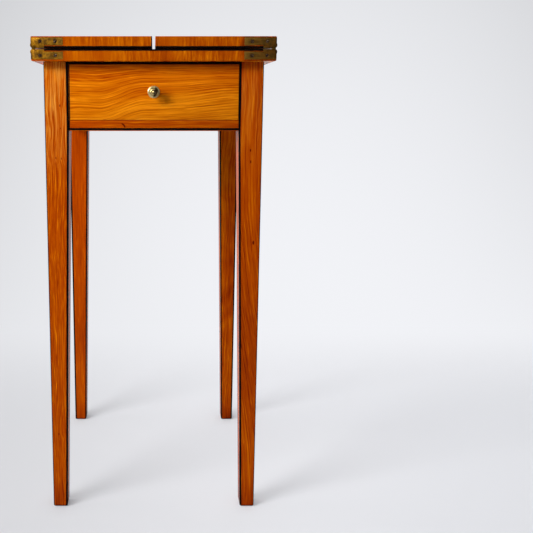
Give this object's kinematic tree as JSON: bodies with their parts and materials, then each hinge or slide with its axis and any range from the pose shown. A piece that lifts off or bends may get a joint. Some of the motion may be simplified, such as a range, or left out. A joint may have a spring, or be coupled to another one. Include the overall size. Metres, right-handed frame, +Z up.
{
  "type": "lamp table",
  "caption": "Small square cherrywood table on tapered legs, with a frieze drawer and a twin-flap folding top on brass link hinges.",
  "frame": {"origin": "on the floor, under the middle of the top", "axes": "+Z up, the drawer faces -Y, +X to the right of someone who faces the drawer"},
  "size_m": [0.3716, 0.37, 0.775],
  "materials": {
    "cherry": "french polished",
    "ebonised": "polished",
    "drawer_lining": "bare",
    "brass": "aged",
    "bright_brass": "rubbed bright"
  },
  "bodies": {
    "frame": {"leg_front_left": "cherry", "leg_front_right": "cherry", "leg_back_left": "cherry", "leg_back_right": "cherry", "apron_left": "cherry", "apron_right": "cherry", "apron_back": "cherry", "front_rail": "cherry", "fixed_top": "cherry", "frieze_fillet": "ebonised", "drawer_runner_left": "drawer_lining", "drawer_runner_right": "drawer_lining", "drawer_kicker_left": "drawer_lining", "drawer_kicker_right": "drawer_lining", "drawer_stop": "drawer_lining", "hinge_plate_front_left_top": "brass", "hinge_pin_front_left_top": "brass", "hinge_screw_front_left_top_1": "brass", "hinge_screw_front_left_top_2": "brass", "hinge_plate_back_left_top": "brass", "hinge_pin_back_left_top": "brass", "hinge_screw_back_left_top_1": "brass", "hinge_screw_back_left_top_2": "brass", "hinge_plate_front_right_top": "brass", "hinge_pin_front_right_top": "brass", "hinge_screw_front_right_top_1": "brass", "hinge_screw_front_right_top_2": "brass", "hinge_plate_back_right_top": "brass", "hinge_pin_back_right_top": "brass", "hinge_screw_back_right_top_1": "brass", "hinge_screw_back_right_top_2": "brass"},
    "drawer": {"drawer_front": "cherry", "drawer_side_left": "drawer_lining", "drawer_side_right": "drawer_lining", "drawer_back": "drawer_lining", "drawer_bottom": "drawer_lining", "knob": "bright_brass", "knob_nut": "brass"},
    "left_links": {"hinge_link_front_left": "brass", "hinge_link_back_left": "brass"},
    "left_flap": {"flap_left": "cherry", "hinge_plate_front_left_flap": "brass", "hinge_pin_front_left_flap": "brass", "hinge_screw_front_left_flap_1": "brass", "hinge_screw_front_left_flap_2": "brass", "hinge_plate_back_left_flap": "brass", "hinge_pin_back_left_flap": "brass", "hinge_screw_back_left_flap_1": "brass", "hinge_screw_back_left_flap_2": "brass"},
    "right_links": {"hinge_link_front_right": "brass", "hinge_link_back_right": "brass"},
    "right_flap": {"flap_right": "cherry", "hinge_plate_front_right_flap": "brass", "hinge_pin_front_right_flap": "brass", "hinge_screw_front_right_flap_1": "brass", "hinge_screw_front_right_flap_2": "brass", "hinge_plate_back_right_flap": "brass", "hinge_pin_back_right_flap": "brass", "hinge_screw_back_right_flap_1": "brass", "hinge_screw_back_right_flap_2": "brass"}
  },
  "joints": [
    {"name": "drawer_slide", "type": "slide", "parent": "frame", "child": "drawer", "axis": [0, -1, 0], "range_m": [0, 0.22]},
    {"name": "left_links_turn", "type": "hinge", "parent": "frame", "child": "left_links", "pos_m": [-0.181, 0, 0.752], "axis": [0, -1, 0], "range_deg": [0, 90]},
    {"name": "left_flap_turn", "type": "hinge", "parent": "left_links", "child": "left_flap", "pos_m": [-0.181, 0, 0.762], "axis": [0, -1, 0], "range_deg": [0, 90]},
    {"name": "right_links_turn", "type": "hinge", "parent": "frame", "child": "right_links", "pos_m": [0.181, 0, 0.752], "axis": [0, 1, 0], "range_deg": [0, 90]},
    {"name": "right_flap_turn", "type": "hinge", "parent": "right_links", "child": "right_flap", "pos_m": [0.181, 0, 0.762], "axis": [0, 1, 0], "range_deg": [0, 90]}
  ],
  "couplings": [
    {"joint": "left_links_turn", "follows": "left_flap_turn", "ratio": 1},
    {"joint": "right_links_turn", "follows": "right_flap_turn", "ratio": 1}
  ]
}
